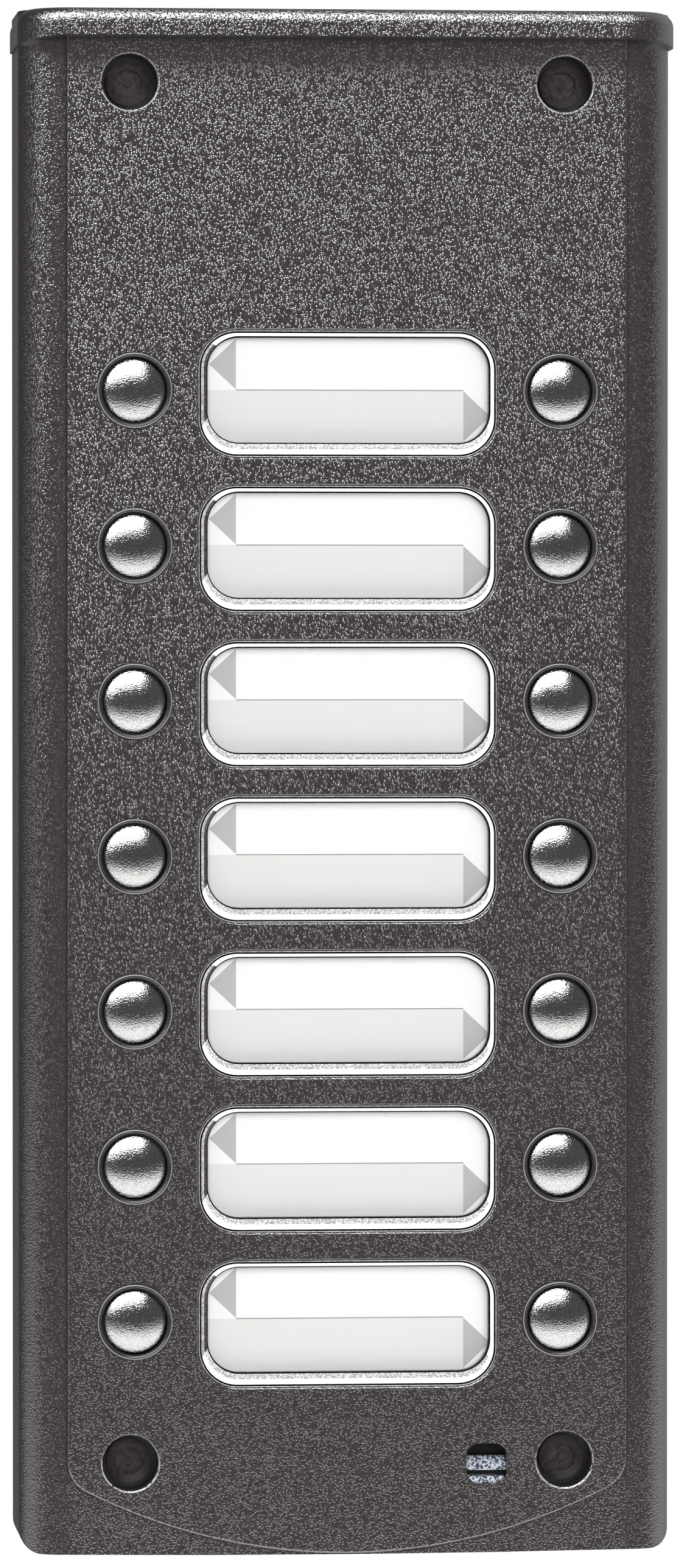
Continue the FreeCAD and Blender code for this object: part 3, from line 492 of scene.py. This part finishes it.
def printed_card():
    """Each card: an upper label for the left button and a grey lower one for the right button."""
    look = Look("printed_card", CARD_WHITE, 0.6, specular=0.3)

    sums = look.sums

    def below(value, limit):
        return sums("LESS_THAN", value, limit)

    def both(first, second):
        return sums("MULTIPLY", first, second)

    def either(first, second):
        return sums("MAXIMUM", first, second)

    across, _, up = look.axes()
    x = sums("SUBTRACT", across, CARD_SHIFT)
    shifted = sums("ADD", up, ROW_PITCH * (ROWS + 0.5) - CARD_MIDDLE_Z - CARD_LIFT)
    z = sums("SUBTRACT", sums("MODULO", shifted, ROW_PITCH), ROW_PITCH / 2)

    def arrow(side):
        """Inside a triangle that points to one side, above the rule on the left."""
        out = sums("MULTIPLY", x, side)
        height = sums("ABSOLUTE", sums("ADD", z, side * ARROW_MIDDLE))
        taper = sums("MULTIPLY", sums("SUBTRACT", ARROW_TIP, out), ARROW_HALF / (ARROW_TIP - ARROW_BASE))
        return both(below(ARROW_BASE, out), below(height, taper))

    lower_label = both(below(z, 0.0), below(x, ARROW_BASE))
    rule = both(below(sums("ABSOLUTE", z), RULE), below(sums("ABSOLUTE", x), ARROW_BASE))
    fibres = look.spread(look.noise(900, 3), 0.3, 0.7)
    white = look.blend(fibres, tuple(c * 0.985 for c in CARD_WHITE), CARD_WHITE)
    colour = look.blend(lower_label, white, CARD_GREY)
    colour = look.blend(either(arrow(-1), arrow(1)), colour, ARROW_GREY)
    colour = look.blend(rule, colour, RULE_GREY)
    look.join(colour, "Base Color")
    look.rough(600, 0.5, 0.7)
    look.relief(look.noise(2500, 3), 0.000006)
    return look.material


# ---- windows ---------------------------------------------------------------------------
WINDOW = (45.7 * MM, 19.3 * MM, 5.9 * MM)
PANE = (43.1 * MM, 16.0 * MM, 4.8 * MM)
WINDOW_SINK = 0.3 * MM  # window middle below the card's middle
PANE_RISE = 0.27 * MM  # pane middle above the card's middle
PANE_RIGHT = 0.18 * MM
LIP = 0.15 * MM  # rounded outer lip
GROOVE = 0.42 * MM  # outer edge to the inside of the groove
SHADOW_GAP = 0.22 * MM  # the dark line between the bevel and the card
PANE_BACK = 0.15 * MM  # pane in front of the card
PANE_THICK = 1.0 * MM
PANE_FIT = 0.06 * MM
CORNER_STEPS = 14
SHADED_FROM, SHADED_TO = 133, 192  # degrees round the frame where the bevel is in shade
SPECKLED_GLOW_TO = 335  # the inner slope carries a speckled painted reflection and glow from the end of the shade to here


def rounded_outline(size, inset, cz, cx=0.0):
    """Points round a rectangle with round corners, in the front view, moved in by inset."""
    width, height, radius = size[0] - 2 * inset, size[1] - 2 * inset, size[2] - inset
    points = []
    for sx, sz, first in ((1, 1, 0), (-1, 1, 90), (-1, -1, 180), (1, -1, 270)):
        for step in range(CORNER_STEPS + 1):
            angle = math.radians(first + 90 * step / CORNER_STEPS)
            points.append((
                cx + sx * (width / 2 - radius) + radius * math.cos(angle),
                cz + sz * (height / 2 - radius) + radius * math.sin(angle),
            ))
    return points


def facing(i):
    """Degrees round the frame of the stretch after point i: 0 at the right, 90 at the top."""
    corner, step = divmod(i, CORNER_STEPS + 1)
    return 90 * corner + min(90.0, 90 * (step + 0.5) / CORNER_STEPS)


def between(first, second, share):
    return [
        (a[0] + (b[0] - a[0]) * share, a[1] + (b[1] - a[1]) * share)
        for a, b in zip(first, second)
    ]


def lofted(name, loops, materials, choose, capped=False):
    """A closed mesh through loops of (outline, y). Choose gives each face's material."""
    count = len(loops[0][0])
    vertices = [(x, y, z) for outline, y in loops for x, z in outline]
    faces, paints = [], []
    rows = len(loops) - 1 if capped else len(loops)
    for row in range(rows):
        after = (row + 1) % len(loops)
        for i in range(count):
            j = (i + 1) % count
            faces.append((row * count + i, row * count + j, after * count + j, after * count + i))
            paints.append(choose(row, i))
    if capped:
        last = (len(loops) - 1) * count
        faces.append(tuple(range(count))[::-1])
        faces.append(tuple(range(last, last + count)))
        paints += [0, 0]
    mesh = bpy.data.meshes.new(name)
    mesh.from_pydata(vertices, [], faces)
    for material in materials:
        mesh.materials.append(material)
    mesh.polygons.foreach_set("material_index", paints)
    mesh.polygons.foreach_set("use_smooth", [True] * len(faces))
    mesh.update()
    made = bpy.data.objects.new(name, mesh)
    bpy.context.scene.collection.objects.link(made)
    sharp = made.modifiers.new("sharp edges", "EDGE_SPLIT")
    sharp.split_angle = math.radians(25)
    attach(made, ROOT)
    return made


# the window frame's looks, each carrying painted light or painted shade
LIP_HIGHLIGHT_LOOK, DARK_SHADE_LOOK, LIT_LOOK, SPECKLED_GLOW_LOOK, SHADE_LOOK = range(5)


def name_window(row, looks, pane_look):
    """The bevelled frame, with light and shade painted on it, and the clear pane that stand for one
    window.
    """
    cad = "name_window_%d" % row
    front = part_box(cad)[0].y
    card_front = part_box("name_card_%d" % row)[0].y
    card_z = middle("name_card_%d" % row).z
    cz, pane_z = card_z - WINDOW_SINK, card_z + PANE_RISE
    outer, lip, groove = (rounded_outline(WINDOW, inset, cz) for inset in (0, LIP, GROOVE))
    gap = rounded_outline(PANE, -SHADOW_GAP, pane_z, PANE_RIGHT)
    pane = rounded_outline(PANE, 0, pane_z, PANE_RIGHT)
    # each step: an outline, its depth in mm and its painted light or shade
    steps = [
        (outer, 0.3, LIP_HIGHLIGHT_LOOK),
        (outer, 0.08, LIP_HIGHLIGHT_LOOK),
        (between(outer, lip, 0.5), 0.0, LIP_HIGHLIGHT_LOOK),
        (lip, 0.06, DARK_SHADE_LOOK),
        (lip, 0.5, DARK_SHADE_LOOK),
        (groove, 0.5, DARK_SHADE_LOOK),
        (groove, 0.14, LIT_LOOK),
        (between(groove, gap, 0.5), 0.3, SPECKLED_GLOW_LOOK),
        (gap, 0.6, DARK_SHADE_LOOK),
        (gap, 1.3, DARK_SHADE_LOOK),
        (pane, 1.35, DARK_SHADE_LOOK),
    ]
    loops = [(outline, front + depth * MM) for outline, depth, _ in steps]
    loops += [(pane, card_front - 0.05 * MM), (outer, card_front - 0.05 * MM)]

    def choose(step, i):
        look = steps[step][2] if step < len(steps) else DARK_SHADE_LOOK
        # the side of the frame away from the light takes the lip's grey and painted shade in place of
        # the painted reflection
        shaded = SHADED_FROM < facing(i) < SHADED_TO
        if look == LIT_LOOK and shaded:
            return LIP_HIGHLIGHT_LOOK
        if look == SPECKLED_GLOW_LOOK and shaded:
            return SHADE_LOOK
        if look == SPECKLED_GLOW_LOOK and not SHADED_TO < facing(i) < SPECKLED_GLOW_TO:
            return LIT_LOOK
        return look

    bevel = lofted("window_bevel_%d" % row, loops, looks, choose)
    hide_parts(cad)

    edge = 0.1 * MM
    rear = card_front - PANE_BACK
    outlines = [
        rounded_outline(PANE, PANE_FIT + inset, pane_z, PANE_RIGHT) for inset in (edge, 0, 0, edge)
    ]
    depths = (rear - PANE_THICK, rear - PANE_THICK + edge, rear - edge, rear)
    lofted("window_pane_%d" % row, list(zip(outlines, depths)), [pane_look], lambda step, i: 0, True)


# ---- put together ----------------------------------------------------------------------
def paint(prefix, material):
    """Gives every node whose name starts so that material."""
    for name, node in nodes.items():
        if name.startswith(prefix):
            node.data.materials.clear()
            node.data.materials.append(material)


COOL = (0.94, 0.965, 1.0)
# each light: one corner, the side along it and the side up it
KEY = ((0.318, -0.783, 0.672), (-1.963, -0.331, -0.033), (-0.115, 0.653, 0.305))
FILL = ((0.7, -1.3, -0.1), (-1.2, 0.0, 0.0), (0.0, 0.1, 0.8))
KEY_RADIANCE, FILL_RADIANCE = 5.6, 5.25

camera()
soft_light("key_softbox", *KEY, KEY_RADIANCE, COOL, diffuse=False)
soft_light("front_fill", *FILL, FILL_RADIANCE, glossy=False)
surroundings()
floor()

plain_black = moulded("black_plastic", (0.03, 0.029, 0.029), 0.45)
zinc = metal("zinc", (0.6, 0.6, 0.58), 0.25, 0.45)
pane_look = clear_pane()
paint("front_cover", hammered_paint())
paint("back_box", moulded("box_plastic", (0.035, 0.034, 0.034), 0.5, 1800, 0.00003))
paint("cover_gasket", moulded("seal_rubber", (0.012, 0.012, 0.012), 0.7, 900, 0.00002, 0.3))
paint("cable_grommet", moulded("grommet_rubber", (0.014, 0.014, 0.014), 0.65, 900, 0.00002, 0.3))
paint("cover_screws", black_screw())
paint("button_bezels", bezel_lacquer())
paint("call_button", satin_nickel())
paint("return_spring", metal("spring_steel", (0.55, 0.55, 0.55), 0.2, 0.32))
paint("switch_housings", plain_black)
paint("name_window", pane_look)
paint("name_card", printed_card())
paint("light_diffuser", moulded("opal_sheet", (0.84, 0.84, 0.82), 0.4, 1200, 0.000008))
paint("label_carrier", moulded("white_moulding", (0.7, 0.7, 0.68), 0.45))
paint("carrier_screws", zinc)
paint("board_screws", zinc)
paint("terminal_screws", zinc)
paint("circuit_board", moulded("solder_resist", (0.02, 0.12, 0.05), 0.22, 500, 0.00001, 0.6))
paint("backlight_leds", moulded("led_resin", (0.85, 0.8, 0.5), 0.15))
paint("terminal_block", moulded("terminal_plastic", (0.05, 0.18, 0.08), 0.4))
paint("port_insert", cast_insert())

window_looks = [
    # painted highlight: the light grey of the window's outer lip
    shaded_bevel("rim_lip_highlight", (0.5, 0.49, 0.51)),
    # painted shade: black in the groove, down the gap to the card and on the back
    shaded_bevel("rim_groove_shade", (0.012, 0.01, 0.01)),
    # painted reflection of the lit card on the slope, with a painted glow
    lit_bevel("lit_bevel", (0.8, 0.8, 0.82), (0.95, 0.95, 0.95), 0.3),
    # painted reflection in grey speckles, with a faint painted glow
    lit_bevel("speckled_glow_bevel", (0.3, 0.3, 0.32), (0.85, 0.85, 0.86), 0.1),
    # painted shade on the side of the slope away from the light
    shaded_bevel("shaded_bevel", (0.07, 0.062, 0.062)),
]
for row in range(1, ROWS + 1):
    name_window(row, window_looks, pane_look)

bpy.context.scene.view_settings.view_transform = "Standard"
